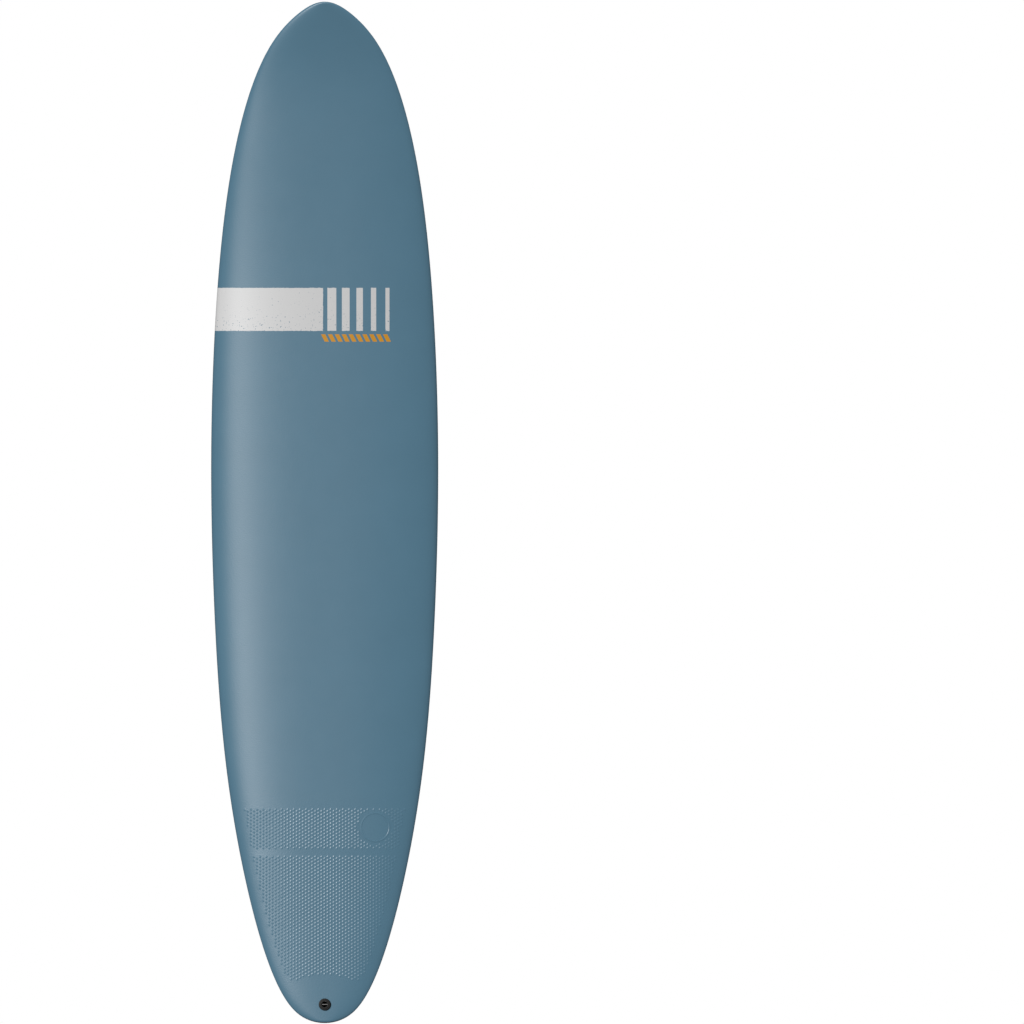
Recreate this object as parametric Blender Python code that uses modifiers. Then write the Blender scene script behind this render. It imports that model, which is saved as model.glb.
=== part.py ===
"""A nine foot soft-top longboard, standing on its tail: nose up, deck towards -Y, fin towards +Y.

The origin is the middle of the tail tip. Lengths are in metres. The board is a stack of layers
(foam deck skin, foam core with two stringers, backing foam, slick) round one set of outline and
rocker curves. The fin, its screw and its plate sit in a slotted box in the bottom.
"""

import math

import bmesh
import bpy
import numpy as np
from mathutils import Matrix, Vector

LENGTH = 2.7432  # 9 feet
GAP = 0.0003  # left between pieces that touch
REACH = 0.010  # how far a cutter goes past the surface that it cuts

# Height above the tail tip, and half of the outline's width there.
OUTLINE = (
    (0.0, 0.0),
    (0.020, 0.065),
    (0.075, 0.112),
    (0.190, 0.161),
    (0.380, 0.212),
    (0.700, 0.266),
    (1.100, 0.296),
    (1.500, 0.305),
    (1.900, 0.293),
    (2.250, 0.258),
    (2.500, 0.201),
    (2.650, 0.129),
    (2.715, 0.066),
    (LENGTH, 0.0),
)
# Height above the tail tip, how far back the bottom's middle line lies, and the thickness.
PROFILE = (
    (0.0, 0.009, 0.019),
    (0.250, 0.038, 0.044),
    (0.700, 0.074, 0.075),
    (1.250, 0.094, 0.092),
    (1.700, 0.091, 0.090),
    (2.100, 0.069, 0.075),
    (2.400, 0.031, 0.053),
    (2.600, -0.014, 0.031),
    (LENGTH, -0.066, 0.015),
)
RINGS = 38  # sections that the board is lofted through
END_ANGLE = 0.02  # where the first and last of them lie, of pi for the whole length
DECK_STEPS = 8  # facets from the deck's middle to the rail
TUCK_STEPS = 3  # facets round the tuck, from the rail to the slick
CROWN_POWER = 2.6  # 2 would make the deck an ellipse, and more makes it flatter with fuller rails
RAIL_HEIGHT = 0.38  # of the thickness, from the bottom up to the widest point of the rail
TUCK_WIDTH = 0.26  # of the thickness, from the widest point of the rail in to the slick
SMALLEST = 0.0005  # no layer gets thinner than this at the tips
ANGLE_STEP = 0.001  # over which the outline's direction is measured
HEIGHT_STEP = 0.005  # over which the deck's and bottom's slopes are measured

SKIN = 0.005  # soft foam over the deck and round the rails
SLICK = 0.0012  # hard sheet on the bottom
STRINGER_X = 0.075
STRINGER_WIDTH = 0.005

PLUG_HEIGHT = 0.050  # leash plug's centre above the tail tip
PLUG_FLANGE_RADIUS = 0.0162
PLUG_FLANGE_TOP = 0.0050  # above the deck
PLUG_FLANGE_BASE = 0.0006
PLUG_FLANGE_EDGE = 0.0016  # radius that the flange's outer edge is rounded to
PLUG_BODY_RADIUS = 0.0125
PLUG_DEPTH = 0.0165  # below the deck
CUP_RADIUS = 0.0075
CUP_EDGE = 0.0006
CUP_DEPTH = 0.0145
BAR_RADIUS = 0.0023
BAR_DEPTH = -0.0010  # below the deck, to the bar's middle
BAR_LENGTH = 0.0200
PLUG_BLOCK_RADIUS = 0.022
PLUG_BLOCK_TOP = 0.0057
PLUG_BLOCK_DEPTH = 0.0150

BOX_HEIGHT = 0.2294  # fin box's centre above the tail tip
SLOT_LENGTH = 0.200
SLOT_WIDTH = 0.0086
SLOT_DEPTH = 0.0190
NOTCH_WIDTH = 0.0142  # lets the cross pin and the plate into the grooves
NOTCH_OPENING = 0.0064
GROOVE_WIDTH = 0.0160  # the grooves that hold the cross pin and the plate
GROOVE_TOP = 0.0070
GROOVE_BASE = 0.0125
BOX_WIDTH = 0.0220
BOX_LENGTH = 0.2140
BOX_TOP = 0.0022
BOX_DEPTH = 0.0215
BLOCK_WIDTH = 0.056
BLOCK_LENGTH = 0.250
BLOCK_TOP = 0.0065
BLOCK_DEPTH = 0.0190

# The fin's edges as (along the board towards the nose, out from the bottom) from the box's centre.
LEADING_EDGE = (
    (0.0635, 0.0),
    (0.0475, 0.0305),
    (0.0265, 0.0700),
    (-0.0040, 0.1115),
    (-0.0365, 0.1435),
    (-0.0735, 0.1685),
    (-0.1130, 0.1845),
    (-0.1400, 0.1840),
    (-0.1535, 0.1765),
)
TRAILING_EDGE = (
    (-0.0660, 0.0),
    (-0.0595, 0.0290),
    (-0.0610, 0.0570),
    (-0.0690, 0.0880),
    (-0.0900, 0.1210),
    (-0.1125, 0.1425),
    (-0.1370, 0.1545),
    (-0.1495, 0.1630),
    (-0.1560, 0.1710),
)
FIN_ROOT = 0.0006  # the blade's lowest section, above the bottom
FIN_THICKNESS = 0.0088
FIN_TIP_THICKNESS = 0.0034
FIN_EDGE = 0.0009  # thickness left at the blade's edges
FOIL_SKEW = 0.7  # under 1 moves the foil's thickest point towards the leading edge
FIN_SECTIONS = 18
FIN_CHORD_STEPS = 8
TAB_WIDTH = 0.0080  # the tab is the part of the fin inside the slot
TAB_TOP = 0.0010
TAB_DEPTH = 0.0165
TAB_BACK = -0.0640
TAB_FRONT = 0.0600
TONGUE_FRONT = 0.0850  # the tongue is the low part of the tab that the screw holds down
TONGUE_TOP = 0.0036
TONGUE_BASE = 0.0062
TONGUE_ROOT = 0.0020  # how far the tongue goes into the tab
PIN_ALONG = -0.0580
PIN_RADIUS = 0.0022
PIN_LENGTH = 0.0136
SCREW_ALONG = 0.0770
SCREW_RADIUS = 0.0020
SCREW_LENGTH = 0.0125
SCREW_HEAD_RADIUS = 0.0037
SCREW_HEAD_HEIGHT = 0.0024
SCREW_HEAD_TOP = 0.8  # of the head's radius, where its rounded top begins
SCREW_HEAD_SIDE = 0.6  # of the head's height, where its straight side ends
DRIVER_SLOT = 0.0009
PLATE_SIDE = 0.0134
PLATE_THICKNESS = 0.0025
PLATE_TOP = 0.0073

ROUND_STEPS = 32
SLOT_END_STEPS = 6
RIM_STEPS = 3
CUP_EDGE_STEPS = 2


def natural_spline(knots, values):
    """The smooth curve through the points, straight at both ends, as a function."""
    x = np.array(knots)
    y = np.array(values)
    steps = np.diff(x)
    slopes = np.diff(y) / steps
    bends = np.zeros(len(x))
    system = np.diag(2 * (steps[:-1] + steps[1:]))
    system += np.diag(steps[1:-1], 1) + np.diag(steps[1:-1], -1)
    bends[1:-1] = np.linalg.solve(system, 6 * np.diff(slopes))

    def curve(at):
        i = min(max(int(np.searchsorted(x, at)) - 1, 0), len(steps) - 1)
        before = at - x[i]
        after = x[i + 1] - at
        width = steps[i]
        bent = bends[i] * after**3 + bends[i + 1] * before**3
        start = (y[i] / width - bends[i] * width / 6) * after
        end = (y[i + 1] / width - bends[i + 1] * width / 6) * before
        return float(bent / (6 * width) + start + end)

    return curve


def angle_at(height):
    """The outline is a smooth curve of this angle, which makes both of its ends round."""
    return math.acos(1 - 2 * height / LENGTH)


half_width_at = natural_spline([angle_at(z) for z, _ in OUTLINE], [x for _, x in OUTLINE])
bottom_at = natural_spline([row[0] for row in PROFILE], [row[1] for row in PROFILE])
thickness_at = natural_spline([row[0] for row in PROFILE], [row[2] for row in PROFILE])


def deck_at(height):
    return bottom_at(height) - thickness_at(height)


def inset_outline(angle, inset):
    """(height, half width) of the outline at this angle, moved inwards by inset."""
    step = ANGLE_STEP
    height = LENGTH * (1 - math.cos(angle)) / 2
    rise = LENGTH * math.sin(angle) / 2
    widening = (half_width_at(angle + step) - half_width_at(angle - step)) / (2 * step)
    length = math.hypot(rise, widening)
    return height + inset * widening / length, half_width_at(angle) - inset * rise / length


def ring_angles():
    span = math.pi - 2 * END_ANGLE
    return [END_ANGLE + span * i / (RINGS - 1) for i in range(RINGS)]


def board_ring(angle, inset):
    """One section of the board, every side of it moved inwards by inset."""
    height, half_width = inset_outline(angle, inset)
    thickness = thickness_at(height)
    rail = bottom_at(height) - RAIL_HEIGHT * thickness
    crown = max((1 - RAIL_HEIGHT) * thickness - inset, SMALLEST)
    keel = max(RAIL_HEIGHT * thickness - inset, SMALLEST)
    tuck = max(TUCK_WIDTH * thickness - inset, SMALLEST)
    right = []
    for i in range(DECK_STEPS + 1):
        turn = math.pi / 2 * i / DECK_STEPS
        across = half_width * math.sin(turn) ** (2 / CROWN_POWER)
        right.append((across, rail - crown * math.cos(turn)))
    for i in range(1, TUCK_STEPS + 1):
        turn = math.pi / 2 * i / TUCK_STEPS
        right.append((half_width - tuck * (1 - math.cos(turn)), rail + keel * math.sin(turn)))
    left = [(-x, y) for x, y in reversed(right[1:])]
    return [Vector((x, y, height)) for x, y in right + left]


def sheet_ring(angle, inset, outer, inner):
    """A rectangle under the bottom's flat part, between two depths measured into the board."""
    height, _ = inset_outline(angle, 0)
    edge = TUCK_WIDTH * thickness_at(height) + inset
    height, half_width = inset_outline(angle, edge)
    low = bottom_at(height) - inner
    high = bottom_at(height) - outer
    corners = ((half_width, low), (half_width, high), (-half_width, high), (-half_width, low))
    return [Vector((x, y, height)) for x, y in corners]


def loft(name, rings):
    """A closed mesh through the rings, with flat ends."""
    shape = bmesh.new()
    rows = [[shape.verts.new(point) for point in ring] for ring in rings]
    for row, following in zip(rows, rows[1:]):
        for i in range(len(row)):
            j = (i + 1) % len(row)
            shape.faces.new((row[i], row[j], following[j], following[i]))
    shape.faces.new(rows[0])
    shape.faces.new(rows[-1])
    bmesh.ops.recalc_face_normals(shape, faces=shape.faces)
    mesh = bpy.data.meshes.new(name)
    shape.to_mesh(mesh)
    shape.free()
    return mesh


def board_mesh(name, inset):
    return loft(name, [board_ring(angle, inset) for angle in ring_angles()])


def sheet_mesh(name, inset, outer, inner):
    rings = [sheet_ring(angle, inset, outer, inner) for angle in ring_angles()]
    return loft(name, rings)


def box_mesh(name, low, high):
    """A box between two corners."""
    shape = bmesh.new()
    bmesh.ops.create_cube(shape, size=1)
    size = Vector(high) - Vector(low)
    bmesh.ops.scale(shape, vec=size, verts=shape.verts)
    bmesh.ops.translate(shape, vec=Vector(low) + size / 2, verts=shape.verts)
    mesh = bpy.data.meshes.new(name)
    shape.to_mesh(mesh)
    shape.free()
    return mesh


def rod_mesh(name, radius, start, end):
    """A cylinder between two points."""
    start = Vector(start)
    along = Vector(end) - start
    shape = bmesh.new()
    bmesh.ops.create_cone(
        shape,
        cap_ends=True,
        segments=ROUND_STEPS,
        radius1=radius,
        radius2=radius,
        depth=along.length,
    )
    turn = Vector((0, 0, 1)).rotation_difference(along).to_matrix().to_4x4()
    place = Matrix.Translation(start + along / 2) @ turn
    bmesh.ops.transform(shape, matrix=place, verts=shape.verts)
    mesh = bpy.data.meshes.new(name)
    shape.to_mesh(mesh)
    shape.free()
    return mesh


def new_material(name, colour, roughness, metallic=0.0):
    made = bpy.data.materials.new(name)
    made.use_nodes = True
    shader = made.node_tree.nodes["Principled BSDF"]
    shader.inputs["Base Color"].default_value = (*colour, 1)
    shader.inputs["Roughness"].default_value = roughness
    shader.inputs["Metallic"].default_value = metallic
    return made


def new_object(name, mesh, material=None, parent=None):
    """A piece of the board if it has a material, and otherwise a cutter."""
    made = bpy.data.objects.new(name, mesh)
    made.parent = parent
    if material:
        if not mesh.materials:
            mesh.materials.append(material)
        pieces.objects.link(made)
    else:
        cutters.objects.link(made)
        made.hide_render = True
        made.display_type = "WIRE"
    return made


def new_frame(name, location, slope, side):
    """An empty whose +Y points out of the board's surface (side 1 bottom, -1 deck)."""
    made = bpy.data.objects.new(name, None)
    made.location = location
    made.rotation_euler = (-side * math.atan(slope), 0, math.pi if side < 0 else 0)
    pieces.objects.link(made)
    return made


def cut(piece, cutter, operation="DIFFERENCE"):
    boolean = piece.modifiers.new(cutter.name, "BOOLEAN")
    boolean.operation = operation
    boolean.object = cutter


def turned(name, profile, material, parent, location):
    """A solid turned round its own +Z from (radius, height) points that run down its outer side."""
    mesh = bpy.data.meshes.new(name)
    points = [(radius, 0, height) for radius, height in profile]
    mesh.from_pydata(points, [(i, i + 1) for i in range(len(points) - 1)], [])
    made = new_object(name, mesh, material, parent)
    made.location = location
    made.rotation_euler = (-math.pi / 2, 0, 0)
    screw = made.modifiers.new("turn", "SCREW")
    screw.steps = ROUND_STEPS
    screw.render_steps = ROUND_STEPS
    screw.use_merge_vertices = True
    screw.merge_threshold = 0.00001
    return made


def slope_of(curve, height):
    step = HEIGHT_STEP
    return (curve(height + step) - curve(height - step)) / (2 * step)


def make_skin_and_sheets():
    skin = new_object("deck_skin", board_mesh("deck_skin", 0), blue_foam)
    hollow = new_object("hollow_cutter", board_mesh("hollow_cutter", SKIN))
    window_mesh = sheet_mesh("window_cutter", 0, -2 * SKIN, SKIN + 2 * GAP)
    window = new_object("window_cutter", window_mesh)
    cut(skin, hollow)
    cut(skin, window)
    cut(skin, plug_hole)
    slick_mesh = sheet_mesh("bottom_slick", GAP, 0, SLICK)
    slick = new_object("bottom_slick", slick_mesh, grey_slick)
    cut(slick, slot_cutter)
    cut(slick, notch_cutter)
    backing_mesh = sheet_mesh("backing_foam", GAP, SLICK + GAP, SKIN)
    backing = new_object("backing_foam", backing_mesh, white_foam)
    cut(backing, box_pocket)


def make_core():
    """Foam core in three lengthwise pieces, with a stringer in each joint."""
    wide = LENGTH
    half = STRINGER_WIDTH / 2
    seams = {
        "core_left": (-wide, -STRINGER_X - half - GAP, white_core),
        "stringer_left": (-STRINGER_X - half, -STRINGER_X + half, plywood),
        "core_centre": (-STRINGER_X + half + GAP, STRINGER_X - half - GAP, white_core),
        "stringer_right": (STRINGER_X - half, STRINGER_X + half, plywood),
        "core_right": (STRINGER_X + half + GAP, wide, white_core),
    }
    for name, (left, right, material) in seams.items():
        low = (left, -wide, -wide)
        high = (right, wide, 2 * wide)
        slab = new_object(name + "_slab", box_mesh(name + "_slab", low, high))
        piece = new_object(name, board_mesh(name, SKIN + GAP), material)
        cut(piece, slab, "INTERSECT")
        if name == "core_centre":
            for pocket in (block_pocket, box_pocket, plug_block_pocket, plug_hole):
                cut(piece, pocket)


def along_box(width, top, depth, length):
    """Corners of a box centred on the fin box, its top and base measured into the board."""
    return (-width / 2, -depth, -length / 2), (width / 2, -top, length / 2)


def make_fin_box():
    low, high = along_box(BOX_WIDTH, BOX_TOP, BOX_DEPTH, BOX_LENGTH)
    box = new_object("fin_box", box_mesh("fin_box", low, high), black_plastic, box_frame)
    cut(box, slot_cutter)
    cut(box, groove_cutter)
    cut(box, notch_cutter)
    low, high = along_box(BLOCK_WIDTH, BLOCK_TOP, BLOCK_DEPTH, BLOCK_LENGTH)
    mesh = box_mesh("fin_box_block", low, high)
    block = new_object("fin_box_block", mesh, dense_foam, box_frame)
    cut(block, box_pocket)


def box_cutter(name, corners):
    return new_object(name, box_mesh(name, *corners), None, box_frame)


def arc(centre, radius, start, end, steps):
    """Points on a circle between two angles in degrees."""
    found = []
    for i in range(steps + 1):
        turn = math.radians(start + (end - start) * i / steps)
        found.append((centre[0] + radius * math.cos(turn), centre[1] + radius * math.sin(turn)))
    return found


def slot_mesh(name, width, length, top, depth):
    """A slot with round ends, centred on the fin box, its top and base measured into the board."""
    radius = width / 2
    straight = length / 2 - radius
    outline = arc((0, straight), radius, 0, 180, SLOT_END_STEPS)
    outline += arc((0, -straight), radius, 180, 360, SLOT_END_STEPS)
    return loft(name, [[Vector((x, y, z)) for x, z in outline] for y in (-depth, -top)])


def make_leash_plug():
    cup_edge = (CUP_RADIUS + CUP_EDGE, PLUG_FLANGE_TOP - CUP_EDGE)
    outer_edge = (PLUG_FLANGE_RADIUS - PLUG_FLANGE_EDGE, PLUG_FLANGE_TOP - PLUG_FLANGE_EDGE)
    profile = [(0, -CUP_DEPTH), (CUP_RADIUS, -CUP_DEPTH)]
    profile += arc(cup_edge, CUP_EDGE, 180, 90, CUP_EDGE_STEPS)
    profile += arc(outer_edge, PLUG_FLANGE_EDGE, 90, 0, RIM_STEPS)
    profile += [
        (PLUG_FLANGE_RADIUS, PLUG_FLANGE_BASE),
        (PLUG_BODY_RADIUS, PLUG_FLANGE_BASE),
        (PLUG_BODY_RADIUS, -PLUG_DEPTH),
        (0, -PLUG_DEPTH),
    ]
    plug = turned("leash_plug", profile, black_plastic, plug_frame, (0, 0, 0))
    ends = [(side * BAR_LENGTH / 2, -BAR_DEPTH, 0) for side in (-1, 1)]
    bar = rod_mesh("leash_bar", BAR_RADIUS, *ends)
    new_object("leash_bar", bar, steel, plug_frame)
    hole_ends = [(side * (BAR_LENGTH / 2 + GAP), -BAR_DEPTH, 0) for side in (-1, 1)]
    hole = rod_mesh("bar_hole", BAR_RADIUS + GAP, *hole_ends)
    cut(plug, new_object("bar_hole", hole, None, plug_frame))
    ends = [(0, -PLUG_BLOCK_TOP, 0), (0, -PLUG_BLOCK_DEPTH, 0)]
    block = rod_mesh("leash_plug_block", PLUG_BLOCK_RADIUS, *ends)
    cut(new_object("leash_plug_block", block, dense_foam, plug_frame), plug_hole)


def edge_curve(points):
    """A smooth curve through (along, out) points, from 0 at the first to 1 at the last."""
    lengths = [math.dist(a, b) for a, b in zip(points, points[1:])]
    knots = np.concatenate([[0], np.cumsum(lengths)]) / sum(lengths)
    along = natural_spline(knots, [p[0] for p in points])
    out = natural_spline(knots, [p[1] for p in points])
    return lambda t: Vector((0, out(t), along(t)))


def blade_ring(share):
    """The blade's foil section from the leading edge to the trailing edge and back."""
    lead = leading_edge(share)
    chord = trailing_edge(share) - lead
    thick = FIN_THICKNESS + (FIN_TIP_THICKNESS - FIN_THICKNESS) * share
    side = []
    for i in range(FIN_CHORD_STEPS + 1):
        turn = math.pi * i / FIN_CHORD_STEPS
        back = (1 - math.cos(turn)) / 2
        half = (FIN_EDGE + (thick - FIN_EDGE) * math.sin(math.pi * back**FOIL_SKEW)) / 2
        side.append((half, lead + chord * back))
    right = [point + Vector((half, 0, 0)) for half, point in side]
    left = [point - Vector((half, 0, 0)) for half, point in reversed(side)]
    return right + left


def make_fin():
    shares = [math.sin(math.pi / 2 * i / FIN_SECTIONS) for i in range(FIN_SECTIONS + 1)]
    rings = [[point + Vector((0, FIN_ROOT, 0)) for point in blade_ring(s)] for s in shares]
    fin = new_object("fin", loft("fin", rings), black_plastic, box_frame)
    half = TAB_WIDTH / 2
    tab_corners = (-half, -TAB_DEPTH, TAB_BACK), (half, TAB_TOP, TAB_FRONT)
    cut(fin, box_cutter("tab_shape", tab_corners), "UNION")
    root = TAB_FRONT - TONGUE_ROOT
    tongue_corners = (-half, -TONGUE_BASE, root), (half, -TONGUE_TOP, TONGUE_FRONT)
    cut(fin, box_cutter("tongue_shape", tongue_corners), "UNION")
    depth = -(GROOVE_TOP + GROOVE_BASE) / 2
    ends = [(side * PIN_LENGTH / 2, depth, PIN_ALONG) for side in (-1, 1)]
    pin_hole = rod_mesh("pin_hole", PIN_RADIUS + GAP, *ends)
    cut(fin, new_object("pin_hole", pin_hole, None, box_frame))
    new_object("fin_cross_pin", rod_mesh("fin_cross_pin", PIN_RADIUS, *ends), steel, box_frame)
    cut(fin, screw_hole)


def make_fin_screw():
    profile = [
        (0, SCREW_HEAD_HEIGHT),
        (SCREW_HEAD_RADIUS * SCREW_HEAD_TOP, SCREW_HEAD_HEIGHT),
        (SCREW_HEAD_RADIUS, SCREW_HEAD_HEIGHT * SCREW_HEAD_SIDE),
        (SCREW_HEAD_RADIUS, GAP),
        (SCREW_RADIUS, GAP),
        (SCREW_RADIUS, -SCREW_LENGTH),
        (0, -SCREW_LENGTH),
    ]
    place = (0, -TONGUE_TOP, SCREW_ALONG)
    screw = turned("fin_screw", profile, steel, box_frame, place)
    half = DRIVER_SLOT / 2
    low = (-half, -TONGUE_TOP + SCREW_HEAD_HEIGHT / 2, SCREW_ALONG - REACH)
    high = (half, REACH, SCREW_ALONG + REACH)
    cut(screw, box_cutter("driver_slot_cutter", (low, high)))
    half = PLATE_SIDE / 2
    mesh = box_mesh("fin_plate", (-half, -PLATE_THICKNESS, -half), (half, 0, half))
    plate = new_object("fin_plate", mesh, steel, box_frame)
    plate.location = (0, -PLATE_TOP, SCREW_ALONG)
    cut(plate, screw_hole)


def new_collection(name):
    made = bpy.data.collections.new(name)
    bpy.context.scene.collection.children.link(made)
    return made


for leftover in list(bpy.data.objects):
    bpy.data.objects.remove(leftover)
pieces = new_collection("longboard")
cutters = new_collection("cutters")

blue_foam = new_material("blue_foam", (0.10, 0.20, 0.27), 0.55)
grey_slick = new_material("grey_slick", (0.60, 0.60, 0.60), 0.35)
white_foam = new_material("white_foam", (0.85, 0.85, 0.83), 0.9)
white_core = new_material("white_core", (0.92, 0.92, 0.92), 0.9)
plywood = new_material("plywood", (0.55, 0.40, 0.24), 0.7)
dense_foam = new_material("dense_foam", (0.75, 0.68, 0.50), 0.8)
black_plastic = new_material("black_plastic", (0.02, 0.02, 0.02), 0.4)
steel = new_material("steel", (0.60, 0.60, 0.60), 0.3, 1.0)

leading_edge = edge_curve(LEADING_EDGE)
trailing_edge = edge_curve(TRAILING_EDGE)

box_place = (0, bottom_at(BOX_HEIGHT), BOX_HEIGHT)
box_frame = new_frame("fin_box_frame", box_place, slope_of(bottom_at, BOX_HEIGHT), 1)
plug_place = (0, deck_at(PLUG_HEIGHT), PLUG_HEIGHT)
plug_frame = new_frame("plug_frame", plug_place, slope_of(deck_at, PLUG_HEIGHT), -1)

shape = slot_mesh("slot_cutter", SLOT_WIDTH, SLOT_LENGTH, -REACH, SLOT_DEPTH)
slot_cutter = new_object("slot_cutter", shape, None, box_frame)
groove_corners = along_box(GROOVE_WIDTH, GROOVE_TOP, GROOVE_BASE, SLOT_LENGTH)
groove_cutter = box_cutter("groove_cutter", groove_corners)
notch_corners = along_box(NOTCH_WIDTH, -REACH, GROOVE_TOP + GAP, NOTCH_OPENING)
notch_cutter = box_cutter("notch_cutter", notch_corners)
pocket = along_box(BOX_WIDTH + 2 * GAP, -REACH, BOX_DEPTH + GAP, BOX_LENGTH + 2 * GAP)
box_pocket = box_cutter("box_pocket", pocket)
pocket = along_box(BLOCK_WIDTH + 2 * GAP, -REACH, BLOCK_DEPTH + GAP, BLOCK_LENGTH + 2 * GAP)
block_pocket = box_cutter("block_pocket", pocket)
screw_ends = [(0, -BOX_DEPTH - REACH, SCREW_ALONG), (0, REACH, SCREW_ALONG)]
screw_hole_mesh = rod_mesh("screw_hole", SCREW_RADIUS + GAP, *screw_ends)
screw_hole = new_object("screw_hole", screw_hole_mesh, None, box_frame)
plug_ends = [(0, REACH, 0), (0, -PLUG_DEPTH - 2 * GAP, 0)]
plug_hole_mesh = rod_mesh("plug_hole", PLUG_BODY_RADIUS + GAP, *plug_ends)
plug_hole = new_object("plug_hole", plug_hole_mesh, None, plug_frame)
plug_block_ends = [(0, REACH, 0), (0, -PLUG_BLOCK_DEPTH - GAP, 0)]
plug_block_mesh = rod_mesh("plug_block_pocket", PLUG_BLOCK_RADIUS + GAP, *plug_block_ends)
plug_block_pocket = new_object("plug_block_pocket", plug_block_mesh, None, plug_frame)

make_skin_and_sheets()
make_core()
make_fin_box()
make_leash_plug()
make_fin()
make_fin_screw()
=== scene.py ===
"""The looks of the nine foot soft-top longboard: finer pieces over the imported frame, and materials.

The board stands on its tail, nose up (+Z), deck towards -Y, bottom and fin towards +Y. Lengths are
in metres. The outline, profile and hardware are those of the CAD model, whose pieces these replace.
"""

import math

import bmesh
import bpy
import numpy as np
from mathutils import Matrix, Vector
from mathutils.geometry import delaunay_2d_cdt
from mathutils.kdtree import KDTree


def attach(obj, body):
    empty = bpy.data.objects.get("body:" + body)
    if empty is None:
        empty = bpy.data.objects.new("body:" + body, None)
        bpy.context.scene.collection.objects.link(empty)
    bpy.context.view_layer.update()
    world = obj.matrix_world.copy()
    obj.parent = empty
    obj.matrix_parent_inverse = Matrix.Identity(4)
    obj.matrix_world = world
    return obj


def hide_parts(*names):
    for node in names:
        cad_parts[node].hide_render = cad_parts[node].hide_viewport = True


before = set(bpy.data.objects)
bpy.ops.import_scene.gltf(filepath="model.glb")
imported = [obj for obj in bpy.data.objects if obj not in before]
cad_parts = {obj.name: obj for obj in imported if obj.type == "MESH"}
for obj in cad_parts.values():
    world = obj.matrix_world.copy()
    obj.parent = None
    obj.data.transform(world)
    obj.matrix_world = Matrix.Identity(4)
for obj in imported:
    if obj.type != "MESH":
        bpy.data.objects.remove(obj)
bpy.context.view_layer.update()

LENGTH = 2.7432  # 9 feet
GAP = 0.0003  # left between pieces that touch
MERGE = 0.000002  # points nearer than this are one point

# Height above the tail tip, and half of the outline's width there.
OUTLINE = (
    (0.0, 0.0),
    (0.020, 0.065),
    (0.075, 0.112),
    (0.190, 0.161),
    (0.380, 0.212),
    (0.700, 0.266),
    (1.100, 0.296),
    (1.500, 0.305),
    (1.900, 0.293),
    (2.250, 0.258),
    (2.500, 0.201),
    (2.650, 0.129),
    (2.715, 0.066),
    (LENGTH, 0.0),
)
# Height above the tail tip, how far back the bottom's middle line lies, and the thickness.
PROFILE = (
    (0.0, 0.009, 0.019),
    (0.250, 0.038, 0.044),
    (0.700, 0.074, 0.075),
    (1.250, 0.094, 0.092),
    (1.700, 0.091, 0.090),
    (2.100, 0.069, 0.075),
    (2.400, 0.031, 0.053),
    (2.600, -0.014, 0.031),
    (LENGTH, -0.066, 0.015),
)
CROWN_POWER = 2.6  # 2 would make the deck an ellipse, and more makes it flatter with fuller rails
RAIL_HEIGHT = 0.38  # of the thickness, from the bottom up to the widest point of the rail
TUCK_WIDTH = 0.26  # of the thickness, from the widest point of the rail in to the slick
TIP_ROUNDING = 0.34  # of the thickness, over which the deck comes down to the rail at the tips
SMALLEST = 0.0005  # of the tuck and keel, where the board is too thin for them
SKIN = 0.005
SLICK = 0.0012

RINGS = 230  # sections along the board
DECK_STEPS = 24  # from the deck's middle to the rail
TUCK_STEPS = 8  # round the tuck, from the rail to the slick
INNER_DECK_STEPS = 8
INNER_TUCK_STEPS = 3
SHARP_ANGLE = math.radians(38)
BUMP_SHARP_ANGLE = math.radians(6)
SLICK_SHARP_ANGLE = math.radians(4)
HEIGHT_STEP = 0.005  # over which the middle lines' slopes are measured
SURFACE_STEP = 0.0005  # for the deck's tilt at a point
ANGLE_STEP = 0.001  # for the outline's widening
REACH = 0.010  # how far a cutter goes past the surface that it cuts
ROUND_STEPS = 96

# The traction pattern: rows of raised diamonds in two blocks, with a blank roundel in the upper one.
BUMP_SPACING = (0.0165, 0.0094)  # across and along, between bumps of the same column and row
BUMP_HALF = (0.0041, 0.0046)
BUMP_COLUMNS = 15  # on each side of the middle
BUMP_TOP = 0.12  # of the diamond's size
BUMP_HEIGHT = 0.00069
TRACTION_TOP = 0.581
TRACTION_BAR = (0.4524, 0.4641)  # plain strip between the two blocks
TRACTION_END = 0.1245  # lower edge of the pattern in the middle
TRACTION_ARCH = 0.0165  # how much lower the edge is at its corners
TRACTION_CORNER = 0.079  # how far out the corners are
TRACTION_RISE = (0.020, 0.010)  # outside its corners the edge curves up, by so much over so much
TRACTION_INSET = 0.034  # from the outline
ROUNDEL_PLACE = (0.136, 0.526)
ROUNDEL_BLANK = 0.047
ROUNDEL_RADIUS = 0.038
ROUNDEL_RING = 0.0024  # half width of its ring
ROUNDEL_SECTION = ((-1.0, 0), (-0.45, 1), (0.45, 1), (1.0, 0))  # in half widths and bump heights
ROUNDEL_STEPS = 72
PATCH_COLUMN = 16  # deck step at which the patch with the pattern ends
PATCH_HEIGHTS = (0.096, 0.592)
FILL_SPACING = 0.009
BUMP_CLEARANCE = 0.75  # of the spacing, kept free of filling points round the bumps
RING_CLEARANCE = 0.5
SIDE_CLEARANCE = 0.3
FILL_MARGIN = 0.004  # kept free along the ends and edges

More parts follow.
